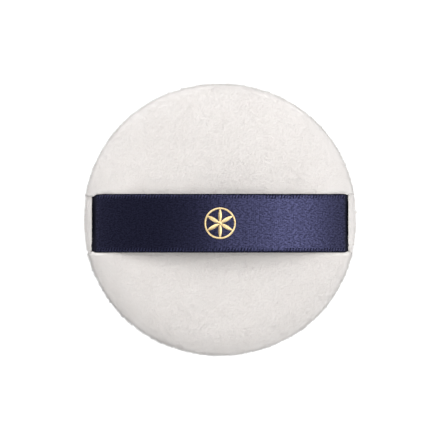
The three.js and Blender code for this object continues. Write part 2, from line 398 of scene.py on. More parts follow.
def modify(piece, kind, **settings):
    """Adds a modifier with these settings and applies it."""
    only(piece)
    modifier = piece.modifiers.new(kind.title(), kind)
    for key, value in settings.items():
        setattr(modifier, key, value)
    bpy.ops.object.modifier_apply(modifier=modifier.name)


def points_of(mesh):
    found = np.empty(len(mesh.vertices) * 3)
    mesh.vertices.foreach_get("co", found)
    return found.reshape(-1, 3)


def set_points(mesh, points):
    mesh.vertices.foreach_set("co", np.ascontiguousarray(points, dtype=np.float32).ravel())
    mesh.update()


def smooth(low, high, value):
    """Runs smoothly from 0 at low to 1 at high."""
    share = np.clip((value - low) / (high - low), 0, 1)
    return share * share * (3 - 2 * share)


def unit(rows):
    return rows / np.maximum(np.linalg.norm(rows, axis=1, keepdims=True), 1e-12)


def drift(points, width, seed):
    """A smooth random vector for each point, which changes over about this width."""
    noise.seed_set(NOISE_SEED)
    shift = Vector((seed * 7.31, seed * 3.17, seed * 5.93))
    return np.array([noise.noise_vector(Vector(p) / width + shift) for p in points])


def dress(piece, material):
    piece.data.materials.clear()
    piece.data.materials.append(material)


def seam_radius():
    return sizes().pad_diameter / 2 - sizes().parting_depth


def pad_height(side):
    """Height of the free crown away from the seam."""
    s = sizes()
    return s.pad_thickness - s.seam_height if side == BACK else s.seam_height + s.rest_depth


def dome(radius, waist, top, steps):
    """A cover's section, from its pole to its waist. Heights are from the seam."""
    section = []
    for i in range(steps + 1):
        angle = math.pi / 2 * i / steps
        r = radius * math.sin(angle) ** (2 / sizes().crown_power)
        section.append((r, waist + (top - waist) * math.cos(angle)))
    return section


def cover_section(side, inset, widening=0.0):
    """A cover's outside from its pole to the seam, this far inside the tips of the pile."""
    s = sizes()
    radius = s.pad_diameter / 2 - inset + widening
    waist = s.parting_width / 2
    section = dome(radius, waist, pad_height(side) - inset, DOME_STEPS)
    for i in range(1, LIP_STEPS + 1):
        angle = math.pi / 2 * i / LIP_STEPS
        r = seam_radius() + (radius - seam_radius()) * math.cos(angle) ** (2 / s.lip_fullness)
        turned_in = (waist - s.clearance) * math.sin(angle) ** (2 / s.lip_fullness)
        section.append((r, waist - turned_in))
    return raised(section, side, inset)


def raised(section, side, lowest=0.0):
    """A section of heights from the seam, in the frame. The powder face rests flat."""
    return [(r, max(sizes().seam_height + side * height, lowest)) for r, height in section]


def lathe(name, section):
    """A solid of revolution from a section that runs from pole to pole."""
    clear_selection()
    bpy.ops.mesh.primitive_circle_add(vertices=len(section), radius=MM)
    body = bpy.context.object
    body.name = name
    for vertex, (radius, height) in zip(body.data.vertices, section, strict=True):
        vertex.co = (radius, 0.0, height)
    edit_all()
    bpy.ops.mesh.spin(
        steps=TURN_STEPS, angle=2 * math.pi, center=(0, 0, 0), axis=(0, 0, 1), dupli=False
    )
    bpy.ops.mesh.select_all(action="SELECT")
    bpy.ops.mesh.remove_doubles(threshold=MERGE_DISTANCE)
    bpy.ops.mesh.delete_loose(use_verts=True, use_edges=True, use_faces=False)
    close_outwards()
    return body


def swell(body, held):
    """Fills a body out like a stuffed cover. Points in held stay. Gives the mean and most reach."""
    seam = body.vertex_groups.new(name="seam")
    seam.add([int(i) for i in np.flatnonzero(held)], 1.0, "ADD")
    cloth = body.modifiers.new("Filling", "CLOTH")
    cloth.settings.quality = 5
    cloth.settings.use_pressure = True
    cloth.settings.uniform_pressure_force = SWELL_PRESSURE
    cloth.settings.vertex_group_mass = seam.name
    cloth.settings.effector_weights.gravity = 0
    cloth.settings.bending_stiffness = SWELL_STIFFNESS
    cloth.settings.shrink_min = SWELL_SHRINK
    cloth.collision_settings.use_collision = False
    before = points_of(body.data)
    scene = bpy.context.scene
    for step in range(1, SWELL_FRAMES + 1):
        scene.frame_set(step)
    moved = body.evaluated_get(bpy.context.evaluated_depsgraph_get())
    travel = points_of(moved.data) - before
    body.modifiers.remove(cloth)
    scene.frame_set(1)
    reach = np.linalg.norm(travel, axis=1, keepdims=True)
    travel *= np.minimum(1, SWELL_CAP / np.maximum(reach, 1e-9))
    set_points(body.data, before + travel)
    return float(reach.mean()), float(reach.max())


class RibbonLine:
    """The ribbon's middle line in X and Z: out of the seam, over a shoulder and across the pad."""

    def __init__(self):
        s = sizes()
        self.reach = seam_radius() - s.ribbon_thickness / 2
        self.shoulder = (self.reach - s.shoulder_radius, s.seam_height + s.shoulder_rise)
        self.shoulder_radius = s.shoulder_radius
        self.top = s.pad_thickness + s.finger_gap + s.ribbon_thickness / 2
        rise = self.top - self.shoulder[1]
        self.radius = (rise**2 + self.shoulder[0] ** 2 - s.shoulder_radius**2) / (
            2 * (rise - s.shoulder_radius)
        )
        self.centre = self.top - self.radius
        self.meeting = math.atan2(self.shoulder[1] - self.centre, self.shoulder[0])
        self.bend = (self.reach - s.seam_bend, s.seam_height + s.seam_bend)
        self.bend_radius = s.seam_bend
        self.tail = seam_radius() - s.allowance_width + s.tail_setback
        self.seam = s.seam_height
        half = [(self.tail, self.seam)]
        half += self.arc(*self.bend, self.bend_radius, -math.pi / 2, 0, BEND_STEPS)
        half += self.arc(*self.shoulder, self.shoulder_radius, 0, self.meeting, SHOULDER_STEPS)
        half += self.arc(0, self.centre, self.radius, self.meeting, math.pi / 2, BOW_STEPS)
        half = np.array(half)
        other = half[-2::-1] * (-1, 1)
        self.points = np.concatenate([half, other])[::-1]
        steps = np.hypot(*np.diff(self.points, axis=0).T)
        self.along = np.concatenate([[0], np.cumsum(steps)])
        self.length = float(self.along[-1])
        self.bow_start = float(
            (self.bend[0] - self.tail)
            + self.bend_radius * math.pi / 2
            + (self.shoulder[1] - self.bend[1])
            + self.shoulder_radius * self.meeting
        )

    @staticmethod
    def arc(x, z, radius, start, end, steps):
        turns = [start + (end - start) * i / steps for i in range(steps + 1)]
        return [(x + radius * math.cos(t), z + radius * math.sin(t)) for t in turns]

    def at(self, share):
        """Points on the line, from 0 at the left tail's end to 1 at the right one's."""
        far = share * self.length
        x = np.interp(far, self.along, self.points[:, 0])
        z = np.interp(far, self.along, self.points[:, 1])
        return x, z

    def outside(self, points):
        """How far points lie outside the line, and the way out at each."""
        x, z = np.abs(points[:, 0]), points[:, 2]
        mark = np.sign(points[:, 0])
        way = np.zeros((len(points), 2))
        far = np.zeros(len(points))
        over = np.arctan2(z - self.centre, np.maximum(x, 1e-9)) >= self.meeting
        rows = [
            (over, (0.0, self.centre), self.radius),
            (~over & (z >= self.shoulder[1]), self.shoulder, self.shoulder_radius),
            ((z < self.bend[1]) & (x >= self.bend[0]), self.bend, self.bend_radius),
        ]
        for chosen, (cx, cz), radius in rows:
            dx, dz = x[chosen] - cx, z[chosen] - cz
            length = np.maximum(np.hypot(dx, dz), 1e-9)
            far[chosen] = length - radius
            way[chosen] = np.stack([dx / length, dz / length], 1)
        side = (z < self.shoulder[1]) & (z >= self.bend[1])
        far[side] = x[side] - self.reach
        way[side] = (1, 0)
        under = (z < self.bend[1]) & (x < self.bend[0])
        far[under] = self.seam - z[under]
        way[under] = (0, -1)
        way[:, 0] *= np.where(mark == 0, 1, mark)
        return far, way


def end_shape(x):
    """The share by which the ribbon narrows as it turns over the rim, and its left end's curl."""
    reach = seam_radius() - sizes().ribbon_thickness / 2
    drawn = END_NARROWING * np.clip((np.abs(x) - reach) / END_DEPTH + 1, 0, 1) ** 2
    curl = CURL_DEPTH * np.clip((-CURL_START - x) / CURL_REACH, 0, 1) ** 2
    return drawn, curl


def beyond_ribbon(points):
    """How far points lie past the nearer long edge of the ribbon, from above. Under it: below 0."""
    s = sizes()
    drawn, curl = end_shape(points[:, 0])
    half = s.ribbon_width / 2 * (1 - drawn)
    y = points[:, 1] + s.ribbon_forward
    return np.maximum(y - half + curl, -y - half)


def pressed(points, line, limit):
    """Points moved in so that none lies further out than limit under the ribbon."""
    weight = 1 - smooth(*PRESS_SIDE, beyond_ribbon(points))
    weight *= smooth(*PRESS_OUT, np.abs(points[:, 0]))
    far, way = line.outside(points)
    push = np.maximum(far - limit, 0) * weight
    moved = points.copy()
    moved[:, 0] -= way[:, 0] * push
    moved[:, 2] -= way[:, 1] * push
    return moved


def cover(side, name, node):
    """One cover: a filled-out pile mass, its seam allowance turned in and its inside hollow."""
    s = sizes()
    section = cover_section(side, s.pile_proud + s.swell_rise, s.swell_rise)
    half_seam = s.clearance / 2
    section += raised([(seam_radius(), half_seam), (0.0, half_seam)], side)
    body = lathe(name, section)
    modify(body, "REMESH", mode="VOXEL", voxel_size=REMESH_SIZE, use_smooth_shade=True)
    away = side * (points_of(body.data)[:, 2] - s.seam_height)
    mean, most = swell(body, away < SEAM_HOLD)
    print(f"{name} swelled by {mean / MM:.2f} mm, at most {most / MM:.2f} mm")
    modify(body, "SMOOTH", factor=0.5, iterations=4)
    modify(body, "SUBSURF", levels=1, render_levels=1)
    points = points_of(body.data)
    away = side * (points[:, 2] - s.seam_height)
    points[:, 2] = np.where(away < half_seam, s.seam_height + side * half_seam, points[:, 2])
    points[:, 2] = np.maximum(points[:, 2], s.pile_proud)
    turn = np.arctan2(points[:, 1], points[:, 0])
    bulge = s.squareness * (OVAL_SHARE * np.cos(2 * turn) - np.cos(4 * turn)) / (s.pad_diameter / 2)
    points[:, :2] *= 1 + bulge[:, None]
    set_points(body.data, points)
    hollow_out(body, side)
    press_lane(body, side)
    only(body)
    bpy.ops.object.shade_smooth_by_angle(angle=COVER_SHARP_ANGLE)
    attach(body, BODY)
    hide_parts(node)
    return body


def hollow_out(body, side):
    """Cuts away the room for the foam, down to the turned-in allowance."""
    s = sizes()
    crown = pad_height(side) if side == BACK else s.seam_height
    radius = s.pad_diameter / 2 - s.cover_thickness
    inner = dome(radius, s.parting_width / 2, crown - s.cover_thickness, FOAM_STEPS)
    level = s.clearance / 2 + s.allowance_thickness
    edge = seam_radius() - s.allowance_width
    inner += [(radius, level), (edge, level), (edge, -MM), (0.0, -MM)]
    room = lathe("room", [(r, s.seam_height + side * h) for r, h in inner])
    modify(body, "BOOLEAN", operation="DIFFERENCE", solver="EXACT", object=room)
    bpy.data.objects.remove(room)


def press_lane(body, side):
    """Makes way for the ribbon: its ends press the back cover, and its tails the face cover."""
    s = sizes()
    line = RibbonLine()
    points = points_of(body.data)
    reach = s.ribbon_thickness / 2 + s.clearance
    if side == BACK:
        waist = s.parting_width / 2
        height = (points[:, 2] - s.seam_height - waist).clip(0)
        flat = np.hypot(points[:, 0], points[:, 1])
        middle = s.pad_diameter / 2 - s.cover_thickness / 2
        rise = pad_height(side) - waist - s.cover_thickness / 2
        low = points[:, 2] < s.seam_height + waist
        share = (flat / middle) ** s.crown_power + (height / rise) ** 2
        skin = np.where(low, flat > seam_radius() - 0.2 * MM, share > 1)
        outer = pressed(points, line, -reach)
        inner = pressed(points, line, -reach - PRESS_SKIN)
        points = np.where(skin[:, None], outer, inner)
    else:
        under_tail = (beyond_ribbon(points) < s.clearance) & (np.abs(points[:, 0]) > TAIL_OUT)
        lowered = np.minimum(points[:, 2], s.seam_height - reach)
        points[:, 2] = np.where(under_tail, lowered, points[:, 2])
        points = lifted(points)
    set_points(body.data, points)


def lifted(points):
    """Raises the face cover's rim past the ribbon's ends, where no back pile holds it down."""
    s = sizes()
    past = np.abs(points[:, 0]) - seam_radius()
    outward = np.hypot(points[:, 0], points[:, 1]) - seam_radius()
    depth = s.seam_height - points[:, 2]
    share = 1 - smooth(*LANE_SIDE, beyond_ribbon(points))
    share *= smooth(*LANE_PAST, past)
    share *= 1 - smooth(s.parting_width * LANE_DEPTH[0], s.parting_width * LANE_DEPTH[1], depth)
    fall = 1 - LANE_FALL * np.clip(outward / s.parting_depth, 0, 1)
    drawn = DRAWN_IN * share * (1 - smooth(*DRAWN_PAST, past))
    drawn *= 1 - smooth(*DRAWN_OUT, outward)
    moved = points.copy()
    moved[:, 0] -= np.sign(points[:, 0]) * np.minimum(drawn, np.maximum(past - DRAWN_GAP, 0))
    moved[:, 2] += s.lane_lift * share * fall
    return moved


def pile_look(name, tone):
    """Plain fibre with a soft sheen."""
    return Look(name).finish(
        Base_Color=tone, Roughness=0.95, Specular_IOR_Level=0.2, Sheen_Weight=0.25, Sheen_Roughness=0.6
    )


def mass_look():
    """The matted mass of the pile between its tips."""
    c = colours()
    look = Look("plush pile mass")
    soft = look.grain(260, 3, 0.55).ramp(0.35, 0.65)
    fine = look.grain(1900, 2, 0.6).ramp(0.3, 0.7)
    # Painted shade in random blotches over the mass
    tone = look.blend(soft * 0.35, c.pile, c.pile_shade)
    tone = look.blend(fine * 0.2, tone, c.pile_shade)
    return look.finish(
        Base_Color=tone,
        Roughness=1.0,
        Specular_IOR_Level=0.15,
        Sheen_Weight=0.25,
        Sheen_Roughness=0.6,
        Normal=look.bump(fine, 0.12 * MM, 0.5),
    )


def model_tuft():
    """One tuft of pile, a thin three-sided spike that leans. Its foot is 1 wide and it is 1 high."""
    clear_selection()
    bpy.ops.mesh.primitive_circle_add(vertices=3, radius=0.5, fill_type="NGON")
    tuft = bpy.context.object
    edit_all()
    bpy.ops.mesh.extrude_region_move(TRANSFORM_OT_translate={"value": (0, 0, 1)})
    bpy.ops.mesh.merge(type="CENTER")
    bpy.ops.transform.translate(value=(0.12, 0, 0))
    close_outwards()
    points = points_of(tuft.data)
    faces = np.array([list(f.vertices) for f in tuft.data.polygons])
    bpy.data.objects.remove(tuft)
    return points, faces


def scatter(section, spacing, seed):
    """Even places on the surface that a section makes, a little out of line."""
    r, z = np.array(section).T
    corners = np.arange(len(r))
    fine = np.linspace(0, len(r) - 1, SECTION_SPLITS * (len(r) - 1) + 1)
    r, z = np.interp(fine, corners, r), np.interp(fine, corners, z)
    strips = (r[1:] + r[:-1]) / 2 * np.hypot(np.diff(r), np.diff(z))
    area = np.concatenate([[0], np.cumsum(strips)])
    count = int(2 * math.pi * area[-1] / (spacing**2 * 0.866))
    picked = (np.arange(count) + 0.5) / count * area[-1]
    turn = np.arange(count) * GOLDEN_TURN
    radius = np.interp(picked, area, r)
    places = np.stack([radius * np.cos(turn), radius * np.sin(turn), np.interp(picked, area, z)], 1)
    rng = np.random.default_rng(seed)
    return places + rng.uniform(-TUFT_JITTER, TUFT_JITTER, places.shape) * spacing


def settle(places, body):
    """The nearest point of a body's surface to each place, and the way out there."""
    tree = BVHTree.FromObject(body, bpy.context.evaluated_depsgraph_get())
    found = [tree.find_nearest(Vector(p)) for p in places]
    at = np.array([f[0] for f in found])
    out = np.array([f[1] for f in found])
    return at, out


def grow_pile(side, body, name, spacing, seed):
    """Sets tufts over a cover, in one piece for each tone of the pile."""
    s, c = sizes(), colours()
    places = scatter(cover_section(side, s.pile_proud), spacing, seed)
    away = side * (places[:, 2] - s.seam_height)
    kept = away > BARE_PARTING
    if side == FACE:
        kept |= (beyond_ribbon(places) < MM) & (np.abs(places[:, 0]) > seam_radius() + LIP_START)
    places, away = places[kept], away[kept]
    at, out = settle(lifted(places) if side == FACE else places, body)
    rng = np.random.default_rng(seed + 1)
    clump = drift(at, CLUMP_DRIFT, seed + 5)
    comb = drift(at, WIDE_DRIFT, seed) * WIDE_LEAN + drift(at, FINE_DRIFT, seed + 3) * FINE_LEAN
    comb += rng.normal(0, STRAY_LEAN, at.shape) + clump * CLUMP_LEAN
    facing = out
    if side == FACE:
        share = (1 - smooth(0, MM, beyond_ribbon(at))) * (np.abs(at[:, 0]) > seam_radius())
        past_end = (share * smooth(*LIP_RISE, at[:, 2] - s.seam_height))[:, None]
        outward = np.sign(at[:, :1]) * (LIP_WAY[0], 0, 0) + (0, LIP_WAY[1], LIP_WAY[2])
        facing = unit(out * (1 - past_end) + outward * past_end)
        comb += outward * past_end * LIP_LEAN
    lean = comb - out * (comb * out).sum(1, keepdims=True)
    way = unit(out + lean * ALL_LEAN)
    length = tuft_lengths(at, clump[:, 0], rng)
    way, length = close_parting(at, way, length, away, side, rng)
    foot = at - out * FOOT_DEPTH
    keep = clear_of_ribbon(foot, foot + way * length[:, None], side)
    length = length * keep
    if side == FACE:
        way, length = laid_flat(foot, way, length, lean)
    grown, faces = tufts(foot, way, length, rng)
    # Painted shade and painted light: each tuft takes the shaded, plain or lit tone, in random patches
    tone = drift(at, TONE_DRIFT, seed + 8)[:, 1] + rng.normal(0, TONE_NOISE, len(at))
    low, high = np.quantile(tone, TONE_SHARES)
    groups = [
        ("shade", tone < low, c.pile_shade),
        ("plain", (tone >= low) & (tone < high), c.pile),
        ("bright", tone >= high, c.pile_painted_light),
    ]
    for label, group, shade in groups:
        chosen = group & (keep > SHORTEST_SHARE)
        mesh = tuft_mesh(f"{name}_{label}", grown[chosen], facing[chosen], faces)
        piece = bpy.data.objects.new(f"{name}_{label}", mesh)
        bpy.context.collection.objects.link(piece)
        dress(piece, pile_look(f"pile fibre {label} {name}", shade))
        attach(piece, BODY)


def tuft_lengths(at, clump, rng):
    """Lengths of tufts, which are more ragged at the pad's rim. A few are longer than the rest."""
    s = sizes()
    edge = s.pad_diameter / 2
    rim = smooth(edge - RIM_WIDTH, edge - s.pile_proud, np.hypot(at[:, 0], at[:, 1]))
    uneven = rng.uniform(*LENGTH_SPREAD, len(at))
    length = s.tuft_length * (uneven + rim * rng.uniform(*RIM_SPREAD, len(at)))
    length *= 1 + (CLUMP_SHARE[0] + CLUMP_SHARE[1] * rim) * clump
    long = rng.random(len(at)) < LONG_CHANCE[0] + LONG_CHANCE[1] * rim
    length *= np.where(long, LONG_SHARE[0] + LONG_SHARE[1] * rim, 1.0)
    return np.minimum(length, s.tuft_length * LONGEST_SHARE)


def close_parting(at, way, length, away, side, rng):
    """Combs the pile beside the seam outwards, so that its tips close the parting."""
    s = sizes()
    low, high = PARTING_COMBED
    share = 1 - smooth(low * s.parting_width, high * s.parting_width, away)
    if side == FACE:
        share *= smooth(0, MM, beyond_ribbon(at))
    radius = np.hypot(at[:, 0], at[:, 1])
    radial = np.stack([at[:, 0], at[:, 1], np.zeros(len(at))], 1) / radius[:, None]
    combed = unit(way * PARTING_KEPT + radial - (0, 0, PARTING_FALL * side))
    way = unit(way * (1 - share[:, None]) + combed * share[:, None])
    full = (s.pad_diameter / 2 - radius) * rng.uniform(*PARTING_REACH, len(at))
    length = np.where(share > 0.05, np.maximum(length, full), length)
    return way, length


def clear_of_ribbon(foot, tip, side):
    """The share of each tuft that stays on its own side of the ribbon."""
    s = sizes()
    line = RibbonLine()
    beside = beyond_ribbon(tip) < RIBBON_SIDE
    limit = -s.ribbon_thickness / 2 - TIP_GAP
    at_foot = line.outside(foot)[0] * side
    at_tip = line.outside(tip)[0] * side
    room = (limit - at_foot) / np.maximum(at_tip - at_foot, 1e-9)
    share = np.where(at_tip > limit, np.clip(room, 0, 1), 1)
    if side == FACE:
        end_face = seam_radius() + TIP_GAP
        start, end = np.abs(foot[:, 0]), np.abs(tip[:, 0])
        room = np.clip((start - end_face) / np.maximum(start - end, 1e-9), 0, 1)
        raised_lip = (foot[:, 2] > s.seam_height) & (end < end_face)
        share = np.where(raised_lip, np.minimum(share, room), share)
    return np.where(beside, share, 1)


def laid_flat(foot, way, length, lean):
    """Lays down the tufts of the flat on which the puff rests, and keeps the others above it."""
    tip = foot + way * length[:, None]
    low = np.maximum(tip[:, 2], LOWEST_TIP)
    rest = unit(np.stack([lean[:, 0] + 0.01, lean[:, 1], np.zeros(len(foot))], 1))
    bent = foot + rest * length[:, None] * FLAT_SHARE
    bent[:, 2] = foot[:, 2] - FLAT_SINK
    flat = foot[:, 2] < FLAT_HEIGHT
    tip = np.where(flat[:, None], bent, np.stack([tip[:, 0], tip[:, 1], low], 1))
    return unit(tip - foot), np.linalg.norm(tip - foot, axis=1)


def tufts(foot, way, length, rng):
    """The corners of a tuft on each foot, turned at random about its line, and one tuft's faces."""
    shape, faces = model_tuft()
    turned = rng.uniform(0, 2 * math.pi, len(foot))[:, None]
    across = unit(np.cross(way, (0.31, 0.17, 0.93)))
    beside = np.cross(way, across)
    first = across * np.cos(turned) + beside * np.sin(turned)
    second = np.cross(way, first)
    width = sizes().tuft_width * rng.uniform(*WIDTH_SPREAD, len(foot))
    grown = foot[:, None, :]
    for i, (axis, size) in enumerate(((first, width), (second, width), (way, length))):
        grown = grown + axis[:, None, :] * (shape[None, :, i : i + 1] * size[:, None, None])
    grown[:, :, 2] = np.maximum(grown[:, :, 2], LOWEST_CORNER)
    return grown, faces


def tuft_mesh(name, rows, facing, faces):
    """A mesh of tufts that is shaded as the pile's surface, with a little of each tuft's own form."""
    mesh = bpy.data.meshes.new(name)
    index = faces[None, :, :] + np.arange(len(rows))[:, None, None] * rows.shape[1]
    mesh.from_pydata(rows.reshape(-1, 3), [], index.reshape(-1, 3), shade_flat=False)
    middle = rows - rows.mean(1, keepdims=True)
    normals = unit(facing)[:, None, :] + middle / sizes().tuft_width * ROUNDNESS
    mesh.normals_split_custom_set_from_vertices(unit(normals.reshape(-1, 3)).tolist())
    return mesh


def ribbon_look(line):
    """Navy satin: a fine weave, and at each long edge a selvedge with small loops."""
    s, c = sizes(), colours()
    look = Look("navy satin ribbon")

    # Millimetres along and across the ribbon, and in from its nearer long edge
    uv = look.node("ShaderNodeUVMap", {"uv_map": "UVMap"})
    length, width = line.length / MM, s.ribbon_width / MM
    along = look.node("ShaderNodeSeparateXYZ", None, {0: uv}, 0) * length
    across = look.node("ShaderNodeSeparateXYZ", None, {0: uv}, 1) * width
    edge = across.least(width - across)
    place = look.node("ShaderNodeCombineXYZ", None, {0: along, 1: across})
    slant = {"Vector": place, "Rotation": (0, 0, 0.35), "Scale": (1.1, 2.4, 1)}
    slanted = look.node("ShaderNodeMapping", None, slant)

    # The weave, and a band of loops that comes and goes in patches
    speckle = look.grain(2.6, 2, 0.65, place)
    dashes = look.grain(1.15, 2, 0.6, slanted)
    ribs = (along * (2 * math.pi / RIB_PITCH) + dashes * 3).sine() * 0.5 + 0.5
    loops = along - across * 0.3 + dashes * 0.4
    loops = (loops * (2 * math.pi / LOOP_PITCH)).sine().ramp(-0.5, 0.6)
    patches = look.grain(0.35, 1, 0.5, place).ramp(0.35, 0.6, 0.35, 1)
    band = edge.ramp(0.3, 0.5) * edge.ramp(1.1, 1.4, 1, 0) * patches

    # The long edges, and both ends where they turn over the rim, are dull, and painted shade darkens
    # them
    bow = line.bow_start / MM
    right = (length - along).ramp(bow - 1.7, bow + 0.1, 1, 0)
    turned = along.ramp(bow - 1.5, bow + 0.9, 1, 0).most(right)
    rim = edge.ramp(0.15, 0.42, 1, 0).most(turned)

    height = ribs * 0.12 + speckle * 0.6 + dashes * 0.6 + band * loops * 0.6
    lit = look.blend(speckle.ramp(0.3, 0.7) * 0.4, c.ribbon, c.ribbon_thread)
    lit = look.blend(band * loops * 0.45, lit, c.ribbon_loop)
    # Painted shade: the long edges and the turned ends take a near-black colour
    lit = look.blend(rim * 0.8, lit, PAINTED_EDGE_SHADE)
    shine = {
        "Base_Color": lit,
        "Roughness": (0.24 + dashes * 0.1 + rim * 0.6).least(0.95),
        "Specular_Tint": c.ribbon_gloss,
        "Normal": look.bump(height, 0.05 * MM, 1.0),
        "IOR": 1.6,
    }
    bright = look.surface(Specular_IOR_Level=1.0, **shine)
    dull = look.surface(Specular_IOR_Level=0.12, **shine)
    weave = dashes.ramp(0.38, 0.62) * 0.5 + speckle.ramp(0.36, 0.64) * 0.3 + ribs * 0.1
    grain = (weave + band * (1 - loops) * 0.6 + rim).least(1.0)
    return look.output(look.node("ShaderNodeMixShader", None, {0: grain, 1: bright, 2: dull}))


def foil_look():
    """Pale gold foil with a fine crinkle."""
    look = Look("pale gold foil")
    crinkle = look.grain(3200, 3, 0.6)
    return look.finish(
        Base_Color=look.blend(crinkle.ramp(0.35, 0.65), colours().gold, (0.95, 0.78, 0.45)),
        Metallic=1.0,
        Roughness=0.26 + crinkle * 0.15,
        Normal=look.bump(crinkle, 0.08 * MM, 0.6),
    )


def thread_look(name, tone):
    """Twisted sewing thread."""
    look = Look(name)
    inputs = {"Vector": look.place((0.5, 0.3, 0.8)), "Scale": 900, "Distortion": 2}
    twist = look.node("ShaderNodeTexWave", {"wave_type": "BANDS"}, inputs)
    return look.finish(
        Base_Color=look.blend(twist * 0.6, tone, tuple(v * 0.75 for v in tone)),
        Roughness=0.6,
        Sheen_Weight=0.2,
        Normal=look.bump(twist, 0.05 * MM, 0.6),
    )


def foam_look():
    """Fine open-cell foam, with painted shade in the hollow of each cell."""
    foam = colours().foam
    look = Look("cream foam")
    cells = look.node("ShaderNodeTexVoronoi", None, {"Vector": look.place(), "Scale": 1400})
    # Painted shade: each cell is darker in its hollow, where the bump is lowest
    tone = look.blend(cells.ramp(0.1, 0.6), tuple(v * 0.8 for v in foam), foam)
    return look.finish(Base_Color=tone, Roughness=0.95, Normal=look.bump(cells, 0.15 * MM, 0.8))


def area_lamp(name, zenith, bearing, distance, wide, tall, radiance):
    """A soft box that looks at the puff, placed by its angle from straight up and its bearing."""
    data = bpy.data.lights.new(name, "AREA")
    data.shape = "RECTANGLE"
    data.size = wide
    data.size_y = tall
    data.energy = radiance * math.pi * wide * tall
    lamp = bpy.data.objects.new(name, data)
    bpy.context.collection.objects.link(lamp)
    zenith, bearing = math.radians(zenith), math.radians(bearing)
    place = Vector(
        (math.sin(zenith) * math.cos(bearing), math.sin(zenith) * math.sin(bearing), math.cos(zenith))
    )
    lamp.location = place * distance
    lamp.rotation_euler = place.to_track_quat("Z", "Y").to_euler()


class PUFF_OT_stage(bpy.types.Operator):
    """Adds the camera, the soft boxes, the world and the pale floor"""

    bl_idname = "puff.stage"
    bl_label = "Studio"

    def execute(self, context):
        scene = context.scene
        scene.view_settings.view_transform = "Standard"
        data = bpy.data.cameras.new("camera")
        data.lens = data.sensor_width * CAMERA_FAR / (PICTURE_SIZE * POINT_SIZE)
        data.clip_start = 0.05
        data.clip_end = 20
        camera = bpy.data.objects.new("camera", data)
        context.collection.objects.link(camera)
        camera.location = (*CAMERA_SHIFT, sizes().seam_height + CAMERA_FAR)
        scene.camera = camera
        for zenith, radiance in SIDE_STRIPS.items():
            area_lamp(f"side strip {zenith}", zenith, 5, 1.0, 0.5, 0.25, radiance)
        for name, row in SOFT_BOXES.items():
            area_lamp(name, *row)
        world = Look("studio", bpy.data.worlds)
        sky = world.node("ShaderNodeBackground", None, {"Color": WHITE, "Strength": SKY_LIGHT})
        world.node("ShaderNodeOutputWorld", None, {"Surface": sky})
        scene.world = world.material
        self.floor()
        return {"FINISHED"}

    def floor(self):
        """A round floor whose edge turns up into a backdrop."""
        clear_selection()
        bpy.ops.mesh.primitive_circle_add(vertices=96, radius=FLOOR_RADIUS, fill_type="NGON")
        floor = bpy.context.object
        floor.name = "studio_floor"
        edit_all()
        bpy.ops.mesh.select_mode(type="EDGE")
        bpy.ops.mesh.region_to_loop()
        angles = [math.pi / 2 * i / CURVE_STEPS for i in range(CURVE_STEPS + 1)]
        for start, end in zip(angles[:-1], angles[1:], strict=True):
            lift = CURVE_RADIUS * (math.cos(start) - math.cos(end))
            before = FLOOR_RADIUS + CURVE_RADIUS * math.sin(start)
            grow = (FLOOR_RADIUS + CURVE_RADIUS * math.sin(end)) / before
            bpy.ops.mesh.extrude_edges_move(TRANSFORM_OT_translate={"value": (0, 0, lift)})
            bpy.ops.transform.resize(value=(grow, grow, 1))
        bpy.ops.mesh.extrude_edges_move(TRANSFORM_OT_translate={"value": (0, 0, BACKDROP_HEIGHT)})
        bpy.ops.object.mode_set(mode="OBJECT")
        bpy.ops.object.shade_smooth()
        dress(floor, self.floor_look())

    def floor_look(self):
        """A dull floor that glows where the camera, a gloss or a glass sees it, and lights nothing."""
        look = Look("pale studio floor")
        seen = look.node("ShaderNodeLightPath", output="Is Camera Ray")
        for other in ("Is Glossy Ray", "Is Transmission Ray"):
            seen = seen.most(look.node("ShaderNodeLightPath", output=other))
        dull = look.node("ShaderNodeBsdfDiffuse", None, {"Color": rgba(colours().floor)})
        glow = look.node("ShaderNodeEmission", None, {"Color": WHITE, "Strength": seen * FLOOR_GLOW})
        return look.output(look.node("ShaderNodeAddShader", None, {0: dull, 1: glow}))


class PUFF_OT_covers(bpy.types.Operator):
    """Models the two plush covers"""

    bl_idname = "puff.covers"
    bl_label = "Covers"

    def execute(self, context):
        look = mass_look()
        dress(cover(BACK, "back_plush_cover", "back_cover"), look)
        dress(cover(FACE, "face_plush_cover", "face_cover"), look)
        return {"FINISHED"}


class PUFF_OT_pile(bpy.types.Operator):
    """Grows the tufts of pile on both covers"""

    bl_idname = "puff.pile"
    bl_label = "Pile"

    def execute(self, context):
        spacing = sizes().tuft_spacing
        grow_pile(BACK, bpy.data.objects["back_plush_cover"], "back_pile", spacing, 11)
        grow_pile(FACE, bpy.data.objects["face_plush_cover"], "face_pile", spacing * 1.1, 47)
        return {"FINISHED"}


